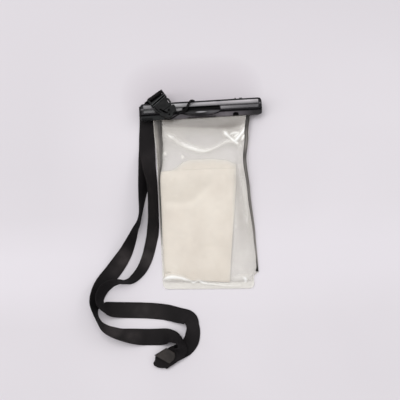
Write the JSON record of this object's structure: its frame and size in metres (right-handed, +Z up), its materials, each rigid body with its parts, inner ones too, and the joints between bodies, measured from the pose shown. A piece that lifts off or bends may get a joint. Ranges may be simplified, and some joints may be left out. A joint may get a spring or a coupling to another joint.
{
  "type": "waterproof pouch",
  "caption": "Flat clear pouch for a phone with a hinged clamp bar, a lens-shaped thumb latch, a side-release buckle and a long neck strap, lying on its back.",
  "frame": {"origin": "under the middle of the pouch, on the surface it lies on, the strap and buckle left out", "axes": "+X along the clamp bar, +Y from the bag's bottom to the clamp bar, +Z up out of the front face"},
  "size_m": [0.1694, 0.2628, 0.0217],
  "materials": {
    "black_plastic": "satin moulded",
    "grey_metal": "satin dark grey",
    "steel": "plain pin",
    "rubber": "matt",
    "clear_film": "clear soft plastic film",
    "black_band": "satin film strip",
    "cream_paper": "matt folded paper",
    "webbing": "woven tape",
    "clasp_plastic": "matt"
  },
  "bodies": {
    "bag_and_rear_jaw": {"rear_jaw": "black_plastic", "hinge_pin_left": "steel", "hinge_pin_right": "steel", "seal_gasket": "rubber", "back_film": "clear_film", "front_film": "clear_film", "side_band_left": "black_band", "side_band_right": "black_band", "paper_insert": "cream_paper", "strap_leg_a": "webbing", "strap_leg_b": "webbing", "strap_clasp": "clasp_plastic"},
    "front_jaw": {"front_jaw": "black_plastic", "inlay_upper": "grey_metal", "inlay_lower_left": "grey_metal", "inlay_lower_right": "grey_metal", "latch_pin": "steel", "buckle_socket": "black_plastic", "strap_stub": "webbing"},
    "thumb_latch": {"thumb_latch": "black_plastic"},
    "buckle_plug": {"buckle_plug": "black_plastic", "cord_loop": "webbing"}
  },
  "joints": [
    {"name": "jaw_hinge", "type": "hinge", "parent": "bag_and_rear_jaw", "child": "front_jaw", "pos_m": [0, 0.0855, 0.0086], "axis": [-1, 0, 0], "range_deg": [0, 45]},
    {"name": "latch_hinge", "type": "hinge", "parent": "front_jaw", "child": "thumb_latch", "pos_m": [0, 0.076, 0.0118], "axis": [1, 0, 0], "range_deg": [0, 40]},
    {"name": "buckle_release", "type": "slide", "parent": "front_jaw", "child": "buckle_plug", "axis": [0.5519, -0.8339, 0], "range_m": [0, 0.014]}
  ]
}
